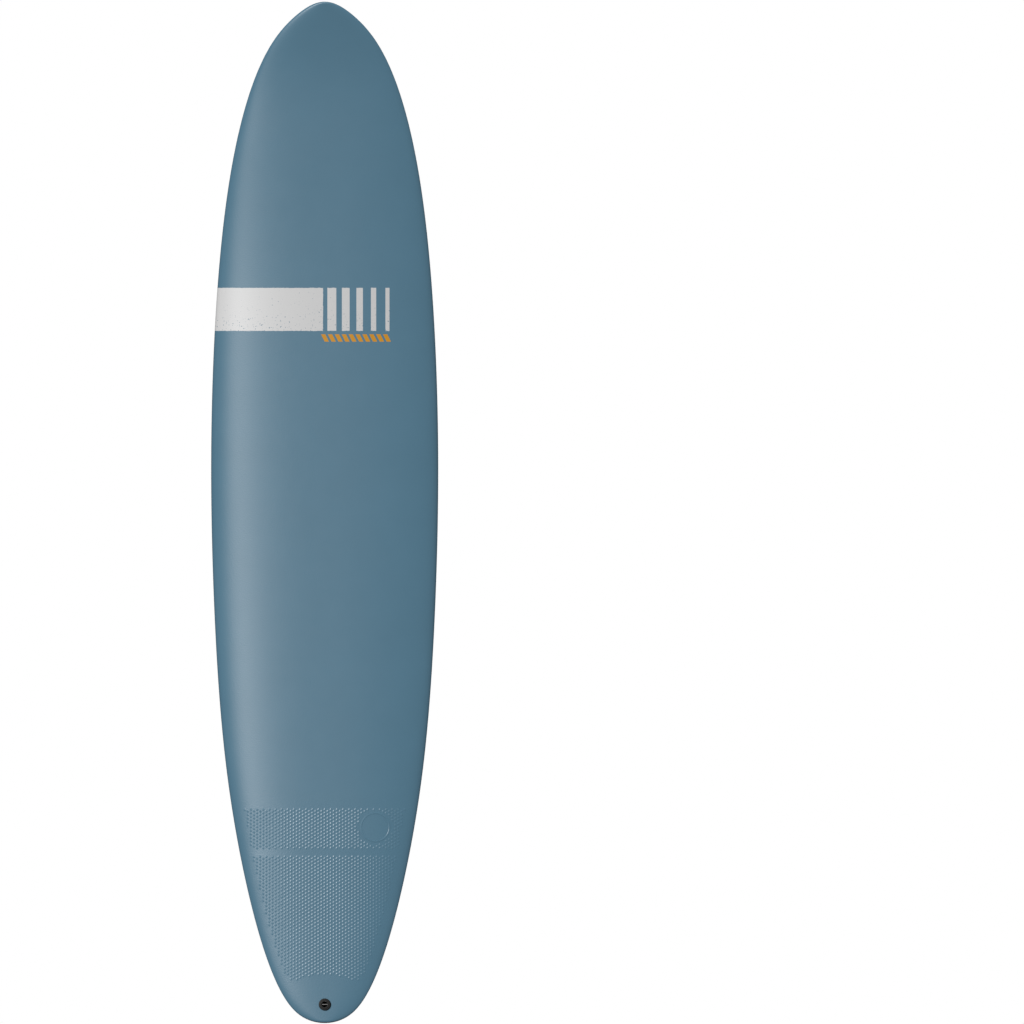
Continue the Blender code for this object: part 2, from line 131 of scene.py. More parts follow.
PLUG_HEIGHT = 0.050  # leash plug's centre above the tail tip
PLUG_HOLE_RADIUS = 0.0128
PLUG_FLANGE_RADIUS = 0.0162
PLUG_FLANGE_TOP = 0.0050
PLUG_FLANGE_BASE = 0.0006
PLUG_FLANGE_EDGE = 0.0016
PLUG_STEP_RADIUS = 0.0113  # the flange's raised inner disc
PLUG_STEP_DEPTH = 0.0006
PLUG_BODY_RADIUS = 0.0125
PLUG_DEPTH = 0.0165
CUP_RADIUS = 0.0075
CUP_EDGE = 0.0006
CUP_DEPTH = 0.0145
BAR_RADIUS = 0.0023
BAR_DEPTH = -0.0010
BAR_LENGTH = 0.0200

BOX_HEIGHT = 0.2294  # fin box's centre above the tail tip
SLOT_LENGTH = 0.200
SLOT_WIDTH = 0.0086
SLOT_DEPTH = 0.0190
NOTCH_WIDTH = 0.0142
NOTCH_OPENING = 0.0064
GROOVE_WIDTH = 0.0160
GROOVE_TOP = 0.0070
GROOVE_BASE = 0.0125
BOX_WIDTH = 0.0220
BOX_LENGTH = 0.2140
BOX_TOP = 0.0022
BOX_DEPTH = 0.0215
BOX_BEVEL = 0.0008
SLOT_END_STEPS = 20

# The embossed lattice on the slick: diagonal and level bands through one set of nodes.
LATTICE_PITCH = (0.0920, 0.0928)
LATTICE_NODE_HEIGHT = 0.4506
LATTICE_HALF = (0.0032, 0.0028)  # half widths of the diagonal and level bands
LATTICE_FLANK = 0.0008
LATTICE_DEPTH = 0.0005
LATTICE_FADE = (0.500, 0.250)  # from nothing to full depth
LATTICE_BORDER = 0.0060  # left plain round the slot and along the slick's edge
LATTICE_STEP = 0.006
LATTICE_REACH = 0.26  # how far to each side its lines are drawn
LATTICE_START = 0.008  # above the tail tip
LATTICE_ROWS = 12  # of lines on each side of the node's own
LINE_POINTS = 90
LINE_POINTS_PER_PITCH = 14  # on a diagonal line
SLICK_EDGE = (0.0008, 0.0004)  # width and depth that its edges are rounded over
SLICK_FILL = 0.022
SLICK_FILL_BOX = ((-0.31, 0.01), (0.31, LENGTH - 0.01))
SHORTEST = 20 * MERGE  # shortest side of the slick's outline

LEADING_EDGE = (
    (0.0635, 0.0),
    (0.0475, 0.0305),
    (0.0265, 0.0700),
    (-0.0040, 0.1115),
    (-0.0365, 0.1435),
    (-0.0735, 0.1685),
    (-0.1130, 0.1845),
    (-0.1400, 0.1840),
    (-0.1535, 0.1765),
)
TRAILING_EDGE = (
    (-0.0660, 0.0),
    (-0.0595, 0.0290),
    (-0.0610, 0.0570),
    (-0.0690, 0.0880),
    (-0.0900, 0.1210),
    (-0.1125, 0.1425),
    (-0.1370, 0.1545),
    (-0.1495, 0.1630),
    (-0.1560, 0.1710),
)
FIN_ROOT = 0.0006
FIN_THICKNESS = 0.0088
FIN_TIP_THICKNESS = 0.0034
FIN_EDGE = 0.0009
FOIL_SKEW = 0.7
EDGE_POWER = 20  # how late the section closes at its edges, which rounds them
FIN_SECTIONS = 64
FIN_CHORD_STEPS = 30
TAB_WIDTH = 0.0080
TAB_TOP = 0.0010
TAB_DEPTH = 0.0165
TAB_BACK = -0.0640
TAB_FRONT = 0.0600
TONGUE_FRONT = 0.0850
TONGUE_TOP = 0.0036
TONGUE_BASE = 0.0062
TONGUE_ROOT = 0.0020
PIN_ALONG = -0.0580
PIN_RADIUS = 0.0022
PIN_LENGTH = 0.0136
PIN_CHAMFER = 0.0004
SCREW_ALONG = 0.0770
SCREW_RADIUS = 0.0020
SCREW_LENGTH = 0.0125
SCREW_HEAD_RADIUS = 0.0037
SCREW_HEAD_HEIGHT = 0.0024
DRIVER_SLOT = 0.0009
SCREW_STEPS = 48
SCREW_POINT = 0.0005  # least length of the screw's tapered end
SCREW_POINT_TAPER = 0.8
THREAD_START = 0.0030
THREAD_PITCH = 0.0007
THREAD_DEPTH = 0.6  # of the pitch
PLATE_SIDE = 0.0134
PLATE_THICKNESS = 0.0025
PLATE_TOP = 0.0073
PLATE_BEVEL = 0.0003

def natural_spline(knots, values):
    """The smooth curve through the points, straight at both ends, as a function of arrays."""
    x = np.array(knots)
    y = np.array(values)
    steps = np.diff(x)
    slopes = np.diff(y) / steps
    bends = np.zeros(len(x))
    system = np.diag(2 * (steps[:-1] + steps[1:]))
    system += np.diag(steps[1:-1], 1) + np.diag(steps[1:-1], -1)
    bends[1:-1] = np.linalg.solve(system, 6 * np.diff(slopes))

    def curve(at):
        i = np.clip(np.searchsorted(x, at) - 1, 0, len(steps) - 1)
        before = at - x[i]
        after = x[i + 1] - at
        width = steps[i]
        bent = bends[i] * after**3 + bends[i + 1] * before**3
        start = (y[i] / width - bends[i] * width / 6) * after
        end = (y[i + 1] / width - bends[i + 1] * width / 6) * before
        return bent / (6 * width) + start + end

    return curve

def angle_at(height):
    """The outline is a smooth curve of this angle, which makes both of its ends round."""
    return np.arccos(np.clip(1 - 2 * np.asarray(height) / LENGTH, -1, 1))

def height_at(angle):
    return LENGTH * (1 - np.cos(angle)) / 2

outline_curve = natural_spline([float(angle_at(z)) for z, _ in OUTLINE], [x for _, x in OUTLINE])
bottom_at = natural_spline([row[0] for row in PROFILE], [row[1] for row in PROFILE])
thickness_at = natural_spline([row[0] for row in PROFILE], [row[2] for row in PROFILE])

def half_width_at(height):
    return outline_curve(angle_at(height))

def deck_middle_at(height):
    return bottom_at(height) - thickness_at(height)

def inset_outline(angle, inset):
    """(height, half width) of the outline at these angles, moved inwards by inset."""
    rise = LENGTH * np.sin(angle) / 2
    widening = outline_curve(angle + ANGLE_STEP) - outline_curve(angle - ANGLE_STEP)
    widening = widening / (2 * ANGLE_STEP)
    length = np.hypot(rise, widening)
    height = height_at(angle) + inset * widening / length
    return height, outline_curve(angle) - inset * rise / length

def tip_rounding(height):
    """1 over most of the board, falling to 0 in a quarter circle at both tips."""
    tip = np.minimum(height, LENGTH - height)
    near = np.clip(tip / (TIP_ROUNDING * thickness_at(height)), 0, 1)
    return np.sqrt(1 - (1 - near) ** 2)

def deck_at(across, height):
    """How far back the deck's surface lies at a point of the board's front view."""
    thickness = thickness_at(height)
    crown = (1 - RAIL_HEIGHT) * thickness * tip_rounding(height)
    share = np.clip(np.abs(across) / half_width_at(height), 0, 1)
    rail = bottom_at(height) - RAIL_HEIGHT * thickness
    return rail - crown * np.sqrt(1 - share**CROWN_POWER)

def deck_normal(across, height):
    """Unit vectors out of the deck, as an array of rows."""
    step = SURFACE_STEP
    along_x = (deck_at(across + step, height) - deck_at(across - step, height)) / (2 * step)
    along_z = (deck_at(across, height + step) - deck_at(across, height - step)) / (2 * step)
    normal = np.stack([along_x, -np.ones_like(along_x), along_z], axis=-1)
    return normal / np.linalg.norm(normal, axis=-1, keepdims=True)

def ring_angles():
    return np.linspace(0, math.pi, RINGS + 1)

def deck_column(share, angles):
    """Points of the deck along the board, at a share of the quarter turn from middle to rail."""
    turn = abs(share) * math.pi / 2
    height = height_at(angles)
    thickness = thickness_at(height)
    crown = (1 - RAIL_HEIGHT) * thickness * tip_rounding(height)
    across = outline_curve(angles) * math.copysign(math.sin(turn) ** (2 / CROWN_POWER), share)
    back = bottom_at(height) - RAIL_HEIGHT * thickness - crown * math.cos(turn)
    return np.stack([across, back, height], axis=-1)

def tuck_column(share, side, angles, inset):
    """Points of the tuck, at a share of the quarter turn from the rail to the flat bottom."""
    turn = share * math.pi / 2
    thickness = thickness_at(height_at(angles))
    tuck = np.maximum(TUCK_WIDTH * thickness - inset, SMALLEST)
    height, half_width = inset_outline(angles, inset + tuck * (1 - math.cos(turn)))
    thickness = thickness_at(height)
    keel = np.maximum(RAIL_HEIGHT * thickness - inset, SMALLEST)
    back = bottom_at(height) - RAIL_HEIGHT * thickness + keel * math.sin(turn)
    return np.stack([side * half_width, back, height], axis=-1)

def window_column(side, angles, inset, depth):
    """Points along the slick's edge, moved inwards by inset and into the board by depth."""
    thickness = thickness_at(height_at(angles))
    height, half_width = inset_outline(angles, TUCK_WIDTH * thickness + inset)
    return np.stack([side * half_width, bottom_at(height) - depth, height], axis=-1)

def inner_deck_column(share, angles):
    turn = abs(share) * math.pi / 2
    height, half_width = inset_outline(angles, SKIN)
    thickness = thickness_at(height)
    crown = np.maximum((1 - RAIL_HEIGHT) * thickness - SKIN, SMALLEST)
    crown = crown * tip_rounding(height_at(angles))
    across = half_width * math.copysign(math.sin(turn) ** (2 / CROWN_POWER), share)
    back = bottom_at(height) - RAIL_HEIGHT * thickness - crown * math.cos(turn)
    return np.stack([across, back, height], axis=-1)

def new_object(name, data):
    made = bpy.data.objects.new(name, data)
    bpy.context.scene.collection.objects.link(made)
    return made

def crisp(mesh, sharp=SHARP_ANGLE):
    """The mesh, smooth-shaded with edges over the sharp angle kept crisp, or the bumps' own angle."""
    shape = bmesh.new()
    shape.from_mesh(mesh)
    for face in shape.faces:
        face.smooth = True
    for edge in shape.edges:
        low = BUMP_SHARP_ANGLE if all(face.material_index for face in edge.link_faces) else sharp
        edge.smooth = len(edge.link_faces) == 2 and edge.calc_face_angle(math.pi) < low
    for face in shape.faces:
        face.material_index = 0
    shape.to_mesh(mesh)
    shape.free()
    return mesh

def mesh_from(name, points, faces, marked=()):
    """A closed mesh with doubled points merged; the marked faces get material index 1 for now."""
    mesh = bpy.data.meshes.new(name)
    mesh.from_pydata([tuple(map(float, p)) for p in points], [], faces)
    for i in marked:
        mesh.polygons[i].material_index = 1
    shape = bmesh.new()
    shape.from_mesh(mesh)
    bmesh.ops.remove_doubles(shape, verts=shape.verts, dist=MERGE)
    bmesh.ops.dissolve_degenerate(shape, edges=shape.edges, dist=MERGE)
    bmesh.ops.recalc_face_normals(shape, faces=shape.faces)
    shape.to_mesh(mesh)
    shape.free()
    return mesh

def carved(mesh, cutter, operation="DIFFERENCE"):
    """The mesh with the cutter taken away, or joined to it."""
    pair = [new_object("carved", m) for m in (mesh, cutter)]
    boolean = pair[0].modifiers.new("cut", "BOOLEAN")
    boolean.operation = operation
    boolean.solver = "EXACT"
    boolean.object = pair[1]
    view = bpy.context.evaluated_depsgraph_get()
    result = bpy.data.meshes.new_from_object(pair[0].evaluated_get(view))
    result.name = mesh.name
    for made in pair:
        bpy.data.objects.remove(made)
    return result

def placed(mesh, place):
    mesh.transform(place)
    return crisp(mesh)

def slope_of(curve, height):
    return float(curve(height + HEIGHT_STEP) - curve(height - HEIGHT_STEP)) / (2 * HEIGHT_STEP)

def surface_frame(curve, height, side):
    """A frame on the board's middle line whose +Y points out of it (side 1 bottom, -1 deck)."""
    turn = Matrix.Rotation(-side * math.atan(slope_of(curve, height)), 4, "X")
    if side < 0:
        turn = Matrix.Rotation(math.pi, 4, "Z") @ turn
    return Matrix.Translation((0, float(curve(height)), height)) @ turn

def full_turn(steps):
    return [2 * math.pi * i / steps for i in range(steps)]

def lathe(name, profile, steps=ROUND_STEPS):
    """A solid turned round +Y from (radius, height) points."""
    turns = full_turn(steps)
    points = [(r * math.cos(t), h, r * math.sin(t)) for r, h in profile for t in turns]
    return mesh_from(name, points, grid_faces(steps, len(profile)))

def rod(name, radius, start, end, chamfer=0.0):
    """A cylinder between two points, with chamfered ends."""
    along = Vector(end) - Vector(start)
    length = along.length
    profile = [(0, 0), (radius - chamfer, 0), (radius, chamfer)]
    profile += [(radius, length - chamfer), (radius - chamfer, length), (0, length)]
    mesh = lathe(name, profile)
    turn = Vector((0, 1, 0)).rotation_difference(along).to_matrix().to_4x4()
    mesh.transform(Matrix.Translation(Vector(start)) @ turn)
    return mesh

def block(name, low, high, bevel=0.0):
    """A box between two corners, with rounded edges."""
    shape = bmesh.new()
    bmesh.ops.create_cube(shape, size=1)
    size = Vector(high) - Vector(low)
    bmesh.ops.scale(shape, vec=size, verts=shape.verts)
    bmesh.ops.translate(shape, vec=Vector(low) + size / 2, verts=shape.verts)
    if bevel:
        bmesh.ops.bevel(shape, geom=shape.edges, offset=bevel, segments=3, affect="EDGES", profile=0.5)
    mesh = bpy.data.meshes.new(name)
    shape.to_mesh(mesh)
    shape.free()
    return mesh

def new_piece(name, mesh, material, body, slot, *replaced):
    """Add a finished piece that stands for CAD nodes."""
    made = new_object(name, mesh)
    mesh.materials.clear()
    mesh.materials.append(material)
    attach(made, body)
    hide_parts(*replaced)

def grid_faces(columns, rows, skip=None):
    """Quads of a grid whose columns close on themselves; skip(column, row) leaves one out."""
    faces = []
    for j in range(rows - 1):
        row, following = j * columns, (j + 1) * columns
        for i in range(columns):
            if skip and skip(i, j):
                continue
            k = (i + 1) % columns
            faces.append((row + i, row + k, following + k, following + i))
    return faces

# --- Deck skin ---

def bump_places():
    """Where the raised diamonds are, in the front view."""
    wide, tall = BUMP_SPACING
    found = []
    for row in range(int(TRACTION_TOP / tall * 2) + 1):
        height = row * tall / 2
        shift = wide / 2 * (row % 2)
        for column in range(-BUMP_COLUMNS, BUMP_COLUMNS + 1):
            across = column * wide + shift
            if has_bump(across, height):
                found.append((across, height))
    return found

def has_bump(across, height):
    out = abs(across)
    if out > half_width_at(height) - TRACTION_INSET or height > TRACTION_TOP - BUMP_HALF[1]:
        return False
    low, high = TRACTION_BAR
    if low - BUMP_HALF[1] < height < high + BUMP_HALF[1]:
        return False
    if math.dist((across, height), ROUNDEL_PLACE) < ROUNDEL_BLANK:
        return False
    edge = TRACTION_END - TRACTION_ARCH * min(1, (out / TRACTION_CORNER) ** 2)
    run, rise = TRACTION_RISE
    corner = max(0, out - TRACTION_CORNER) / run
    return height > edge + rise * corner**2 + BUMP_HALF[1]

def diamond(place, size):
    """Corners and side middles of a diamond, in order."""
    wide, tall = BUMP_HALF[0] * size, BUMP_HALF[1] * size
    corners = [(wide, 0), (0, tall), (-wide, 0), (0, -tall)]
    following = corners[1:] + corners[:1]
    middles = [((a[0] + b[0]) / 2, (a[1] + b[1]) / 2) for a, b in zip(corners, following)]
    ring = [point for pair in zip(corners, middles) for point in pair]
    return [(place[0] + x, place[1] + z) for x, z in ring]

class Sketch:
    """Points and lines of a flat drawing, each point with a height above the surface."""

    def __init__(self):
        self.points, self.heights, self.lines = [], [], []

    def add(self, points, height=0.0, closed=False, joined=True):
        first = len(self.points)
        count = len(points)
        self.points += points
        self.heights += [height] * count
        if joined:
            self.lines += [(first + i, first + i + 1) for i in range(count - 1)]
        if closed:
            self.lines.append((first + count - 1, first))
        return first

    def triangles(self):
        """Points, source rows and triangles of the drawing."""
        flat = [Vector(p) for p in self.points]
        points, _, faces, source, _, _ = delaunay_2d_cdt(flat, self.lines, [], 1, MERGE / 2)
        return np.array([tuple(p) for p in points]), source, faces

def circle(centre, radius, turns):
    return [(centre[0] + radius * math.cos(t), centre[1] + radius * math.sin(t)) for t in turns]

def fill_points(low, high, spacing, allowed):
    """A regular scatter of points in a rectangle, where allowed."""
    columns = int((high[0] - low[0]) / spacing)
    rows = int((high[1] - low[1]) / spacing)
    found = []
    for j in range(rows + 1):
        for i in range(columns + 1):
            point = (low[0] + (i + 0.5 * (j % 2)) * spacing, low[1] + j * spacing)
            if allowed(point):
                found.append(point)
    return found

def traction_patch(angles, first, last):
    """The part of the deck with the traction pattern, to fit the grid between two rings."""
    span = angles[first : last + 1]
    shares = [i / DECK_STEPS for i in range(-PATCH_COLUMN, PATCH_COLUMN + 1)]
    low = [deck_column(s, angles[first : first + 1])[0] for s in shares]
    high = [deck_column(s, angles[last : last + 1])[0] for s in shares]
    right = list(deck_column(shares[-1], span))
    left = list(deck_column(shares[0], span))
    loop = low[:-1] + right[:-1] + high[:0:-1] + left[:0:-1]
    border = [(float(p[0]), float(p[2])) for p in loop]
    sketch = Sketch()
    sketch.add(border, closed=True)
    places = bump_places()
    for place in places:
        base = sketch.add(diamond(place, 1), closed=True)
        top = sketch.add(diamond(place, BUMP_TOP)[::2], BUMP_HEIGHT, closed=True)
        sketch.add([place], BUMP_HEIGHT)
        sketch.lines += [(base + 2 * i, top + i) for i in range(4)]
    for step, height in ROUNDEL_SECTION:
        ring = circle(ROUNDEL_PLACE, ROUNDEL_RADIUS + step * ROUNDEL_RING, full_turn(ROUNDEL_STEPS))
        sketch.add(ring, height * BUMP_HEIGHT, closed=True)
    taken = KDTree(len(places) + len(border))
    for i, point in enumerate(places + border):
        taken.insert((*point, 0), i)
    taken.balance()

    def allowed(point):
        near = taken.find((*point, 0))[2] < BUMP_CLEARANCE * FILL_SPACING
        from_ring = abs(math.dist(point, ROUNDEL_PLACE) - ROUNDEL_RADIUS)
        side = deck_column(shares[-1], angle_at(np.array([point[1]])))[0][0]
        inside = abs(point[0]) < side - SIDE_CLEARANCE * FILL_SPACING
        return not near and from_ring >= RING_CLEARANCE * FILL_SPACING and inside

    heights = (border[0][1] + FILL_MARGIN, high[0][2] - FILL_MARGIN)
    widest = max(abs(x) for x, _ in border)
    scatter = fill_points((-widest, heights[0]), (widest, heights[1]), FILL_SPACING, allowed)
    sketch.add(scatter, joined=False)
    flat, source, faces = sketch.triangles()
    raised = np.array([sketch.heights[rows[0]] if rows else 0.0 for rows in source])
    points = np.stack([flat[:, 0], deck_at(flat[:, 0], flat[:, 1]), flat[:, 1]], axis=-1)
    return points + deck_normal(flat[:, 0], flat[:, 1]) * raised[:, None], faces

def deck_skin_mesh():
    angles = ring_angles()
    tuck = [i / TUCK_STEPS for i in range(1, TUCK_STEPS + 1)]
    columns = [tuck_column(s, 1, angles, 0) for s in reversed(tuck)]
    columns += [deck_column(-i / DECK_STEPS, angles) for i in range(-DECK_STEPS, DECK_STEPS + 1)]
    columns += [tuck_column(s, -1, angles, 0) for s in tuck]
    columns += [window_column(-1, angles, 0, SKIN)]
    inner = [i / INNER_TUCK_STEPS for i in range(1, INNER_TUCK_STEPS)]
    columns += [tuck_column(s, -1, angles, SKIN) for s in reversed(inner)]
    steps = range(-INNER_DECK_STEPS, INNER_DECK_STEPS + 1)
    columns += [inner_deck_column(i / INNER_DECK_STEPS, angles) for i in steps]
    columns += [tuck_column(s, 1, angles, SKIN) for s in inner]
    columns += [window_column(1, angles, 0, SKIN)]
    points = np.stack(columns, axis=1).reshape(-1, 3)
    heights = height_at(angles)
    first = int(np.searchsorted(heights, PATCH_HEIGHTS[0]))
    last = int(np.searchsorted(heights, PATCH_HEIGHTS[1]))
    start = TUCK_STEPS + DECK_STEPS - PATCH_COLUMN
    end = TUCK_STEPS + DECK_STEPS + PATCH_COLUMN

    def in_patch(i, j):
        return start <= i < end and first <= j < last

    faces = grid_faces(len(columns), len(angles), in_patch)
    patch, patch_faces = traction_patch(angles, first, last)
    shift = len(points)
    marked = range(len(faces), len(faces) + len(patch_faces))
    faces += [tuple(i + shift for i in face) for face in patch_faces]
    skin = mesh_from("deck_skin", np.concatenate([points, patch]), faces, marked)
    hole = rod("plug_hole", PLUG_HOLE_RADIUS, (0, -SKIN - REACH / 10, 0), (0, REACH, 0))
    hole.transform(plug_frame)
    return crisp(carved(skin, hole))

# --- Slick ---

def slot_outline(offset):
    """The slot with its notch, as (across, along) points moved outwards by offset."""
    radius = SLOT_WIDTH / 2
    straight = SLOT_LENGTH / 2 - radius
    side = radius + offset
    wide = NOTCH_WIDTH / 2 + offset
    open_half = NOTCH_OPENING / 2 + offset
    turns = [math.pi * i / SLOT_END_STEPS for i in range(SLOT_END_STEPS + 1)]
    top = [(side * math.cos(t), straight + side * math.sin(t)) for t in turns]
    half = [(wide, -open_half), (wide, open_half), (side, open_half)] + top
    half += [(-side, open_half), (-wide, open_half)]
    base = [(-x, -z) for x, z in top]
    return half + [(-wide, -open_half), (-side, -open_half)] + base + [(side, -open_half)]

def divided(loop, step):
    """The closed loop with more points on its long sides."""
    found = []
    for a, b in zip(loop, loop[1:] + loop[:1]):
        count = max(1, round(math.dist(a, b) / step))
        for i in range(count):
            found.append((a[0] + (b[0] - a[0]) * i / count, a[1] + (b[1] - a[1]) * i / count))
    return found

def slot_tilt():
    """How much shorter the slanting slot looks from straight behind."""
    return math.cos(math.atan(slope_of(bottom_at, BOX_HEIGHT)))

def slot_loop(offset):
    tilt = slot_tilt()
    loop = [(x, BOX_HEIGHT + along * tilt) for x, along in slot_outline(offset)]
    return divided(loop, LATTICE_STEP * 2)

def slick_loop(inset):
    angles = ring_angles()
    right = window_column(1, angles, GAP + inset, 0)
    left = window_column(-1, angles, GAP + inset, 0)
    rounds = [(float(p[0]), float(p[2])) for p in np.concatenate([right, left[::-1]])]
    return [p for p, q in zip(rounds, rounds[1:] + rounds[:1]) if math.dist(p, q) > SHORTEST]

def slot_distance(x, z):
    """How far points are from the slot's outline, notch included, as an array."""
    along = np.abs(z - BOX_HEIGHT) / slot_tilt()
    straight = SLOT_LENGTH / 2 - SLOT_WIDTH / 2
    slot = np.hypot(x, np.maximum(along - straight, 0)) - SLOT_WIDTH / 2
    out_x = np.maximum(np.abs(x) - NOTCH_WIDTH / 2, 0)
    out_z = np.maximum(along - NOTCH_OPENING / 2, 0)
    return np.minimum(slot, np.hypot(out_x, out_z))

def rim_distance(x, z):
    """How far points are inside the slick's side edge, measured level."""
    right = window_column(1, ring_angles(), GAP, 0)
    return np.interp(z, right[:, 2], right[:, 0]) - np.abs(x)

def lattice_depth(x, z):
    """How deep the embossed bands are pressed in at these points."""
    wide, tall = LATTICE_PITCH
    u, v = x / wide, (z - LATTICE_NODE_HEIGHT) / tall
    slant = wide * tall / math.hypot(wide, tall)
    pressed = np.zeros_like(x)
    families = ((u + v + 0.5, slant, 0), (u - v + 0.5, slant, 0), (2 * v, tall / 2, 1))
    for count, spacing, kind in families:
        away = np.abs(count - np.round(count)) * spacing
        pressed = np.maximum(pressed, np.clip((LATTICE_HALF[kind] - away) / LATTICE_FLANK, 0, 1))
    start, end = LATTICE_FADE
    pressed *= np.clip((start - z) / (start - end), 0, 1)
    for distance in (slot_distance(x, z), rim_distance(x, z)):
        pressed *= np.clip((distance - LATTICE_BORDER) / LATTICE_FLANK, 0, 1)
    return pressed * LATTICE_DEPTH

def lattice_lines():
    """Short pieces of the bands' edges, where they lie on the slick, as pairs of points."""
    lines = []
    for half, slopes in ((LATTICE_HALF[0], (-1, 1)), (LATTICE_HALF[1], (0,))):
        for side in (-1, 1):
            for edge in (half, half - LATTICE_FLANK):
                for slope in slopes:
                    lines += band_edges(side * edge, slope)
    kept = []
    margin = LATTICE_BORDER + LATTICE_FLANK
    for start, end in lines:
        x, z = np.array([start, end]).T
        clear = (rim_distance(x, z) > margin / 2) & (slot_distance(x, z) > margin / 2)
        drawn = (z > LATTICE_START) & (z < LATTICE_FADE[0]) & (np.abs(x) < LATTICE_REACH)
        if np.all(clear & drawn):
            kept.append((start, end))
    return kept

def band_edges(offset, slope):
    """All the edge lines of one family, in short pieces; slope 0 is level."""
    wide, tall = LATTICE_PITCH
    steps = [i - LINE_POINTS / 2 for i in range(LINE_POINTS)]
    found = []
    for k in range(-LATTICE_ROWS, LATTICE_ROWS + 1):
        if slope:
            base = LATTICE_NODE_HEIGHT + (k + 0.5) * tall + offset * math.hypot(wide, tall) / wide
            xs = [wide * step / LINE_POINTS_PER_PITCH for step in steps]
            points = [(x, base + slope * x * tall / wide) for x in xs]
        else:
            height = LATTICE_NODE_HEIGHT + k * tall / 2 + offset
            points = [(LATTICE_STEP * step, height) for step in steps]
        found += list(zip(points, points[1:]))
    return found

def slick_side(depth, detailed):
    """One face of the slick: outer loops, the slot, and the lattice if it is detailed."""
    sketch = Sketch()
    edge_width = SLICK_EDGE[0]
    for loop in (slick_loop(0), slot_loop(0)):
        sketch.add(loop, 1.0, closed=True)
    if detailed:
        for loop in (slick_loop(edge_width), slot_loop(edge_width)):
            sketch.add(loop, closed=True)
        for border in (LATTICE_BORDER, LATTICE_BORDER + LATTICE_FLANK):
            sketch.add(slot_loop(border), closed=True)
        for start, end in lattice_lines():
            sketch.add([start, end])

    def allowed(point):
        x, z = np.array([point[0]]), np.array([point[1]])
        return rim_distance(x, z)[0] > FILL_MARGIN and slot_distance(x, z)[0] > FILL_MARGIN

    sketch.add(fill_points(*SLICK_FILL_BOX, SLICK_FILL, allowed), joined=False)
    flat, source, faces = sketch.triangles()
    middles = np.array([flat[list(face)].mean(axis=0) for face in faces])
    solid = slot_distance(middles[:, 0], middles[:, 1]) > 0
    faces = [face for face, keep in zip(faces, solid) if keep]
    edge = np.array([max([sketch.heights[i] for i in rows], default=0.0) for rows in source])
    sunk = edge * SLICK_EDGE[1] if detailed else np.zeros(len(flat))
    if detailed:
        sunk = sunk + lattice_depth(flat[:, 0], flat[:, 1]) * (edge == 0)
    back = bottom_at(flat[:, 1]) - depth - sunk
    return np.stack([flat[:, 0], back, flat[:, 1]], axis=-1), faces

def slick_mesh():
    parts = [slick_side(0, True), slick_side(SLICK, False)]
    for loop in (slick_loop(0), slot_loop(0)):
        x, z = np.array(loop).T
        rims = [np.stack([x, bottom_at(z) - d, z], axis=-1) for d in (SLICK_EDGE[1], SLICK)]
        parts.append((np.concatenate(rims), grid_faces(len(loop), 2)))
    faces = []
    shift = 0
    for points, part_faces in parts:
        faces += [tuple(i + shift for i in face) for face in part_faces]
        shift += len(points)
    mesh = mesh_from("bottom_slick", np.concatenate([points for points, _ in parts]), faces)
    return crisp(mesh, SLICK_SHARP_ANGLE)

# --- Leash plug, fin box and fin ---

def arc(centre, radius, start, end, steps=6):
    turns = [math.radians(start + (end - start) * i / steps) for i in range(steps + 1)]
    return circle(centre, radius, turns)

def leash_plug_mesh():
    step_top = PLUG_FLANGE_TOP - PLUG_STEP_DEPTH
    profile = [(0, -CUP_DEPTH), (CUP_RADIUS, -CUP_DEPTH)]
    profile += arc((CUP_RADIUS + CUP_EDGE, PLUG_FLANGE_TOP - CUP_EDGE), CUP_EDGE, 180, 90)
    profile += arc((PLUG_STEP_RADIUS - CUP_EDGE / 2, PLUG_FLANGE_TOP - CUP_EDGE / 2), CUP_EDGE / 2, 90, 0)
    profile += [(PLUG_STEP_RADIUS, step_top)]
    rim = (PLUG_FLANGE_RADIUS - PLUG_FLANGE_EDGE, step_top - PLUG_FLANGE_EDGE)
    profile += arc(rim, PLUG_FLANGE_EDGE, 90, 0)
    profile += [(PLUG_FLANGE_RADIUS, PLUG_FLANGE_BASE), (PLUG_BODY_RADIUS, PLUG_FLANGE_BASE)]
    profile += [(PLUG_BODY_RADIUS, -PLUG_DEPTH), (0, -PLUG_DEPTH)]
    ends = [(side * (BAR_LENGTH / 2 + GAP), -BAR_DEPTH, 0) for side in (-1, 1)]
    mesh = carved(lathe("leash_plug", profile), rod("bar_hole", BAR_RADIUS + GAP, *ends))
    return placed(mesh, plug_frame)

def leash_bar_mesh():
    ends = [(side * BAR_LENGTH / 2, -BAR_DEPTH, 0) for side in (-1, 1)]
    mesh = rod("leash_bar", BAR_RADIUS, *ends, PIN_CHAMFER)
    return placed(mesh, plug_frame)

def slot_cutter_mesh():
    loop = [(x, z) for x, z in slot_outline(0) if abs(x) <= SLOT_WIDTH / 2 + MERGE]
    points = [(x, y, z) for y in (-SLOT_DEPTH, REACH) for x, z in loop]
    count = len(loop)
    faces = grid_faces(count, 2) + [tuple(range(count)), tuple(range(count, 2 * count))]
    return mesh_from("slot", points, faces)

def along_block(name, width, top, depth, length, bevel=0.0):
    return block(name, (-width / 2, -depth, -length / 2), (width / 2, -top, length / 2), bevel)

